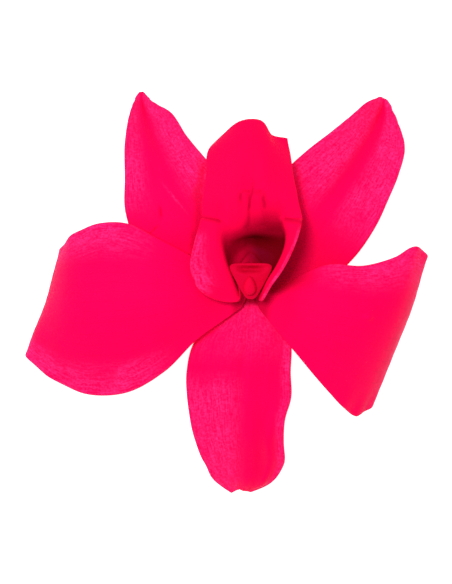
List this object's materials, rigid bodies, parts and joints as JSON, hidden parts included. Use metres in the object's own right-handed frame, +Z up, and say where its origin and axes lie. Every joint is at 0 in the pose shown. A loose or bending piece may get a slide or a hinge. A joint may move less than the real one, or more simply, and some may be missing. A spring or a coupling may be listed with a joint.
{
  "type": "preserved orchid flower",
  "caption": "Preserved orchid flower head lying on its back, with broad petals, pointed sepals, and a lip folded round a short column.",
  "frame": {"origin": "centre of the bounding box at the surface the flower lies on", "axes": "+Z up, the way the open flower faces; +Y along the flower towards the lip's end; +X towards the right petal"},
  "size_m": [0.0706, 0.0706, 0.0175],
  "materials": {
    "petal": "preserved petal tissue, soft matt with a faint papery sheen",
    "sepal": "preserved sepal tissue, soft matt with a papery sheen along the veins",
    "lip": "preserved lip tissue, soft matt and slightly fleshy",
    "column": "preserved fleshy tissue, smooth and matt",
    "pedicel": "preserved stalk tissue, ribbed and matt"
  },
  "bodies": {
    "root": {"dorsal_sepal": "sepal", "left_lateral_sepal": "sepal", "right_lateral_sepal": "sepal", "left_petal": "petal", "right_petal": "petal", "lip": "lip", "column": "column", "anther_cap": "column", "pedicel": "pedicel"}
  },
  "joints": []
}
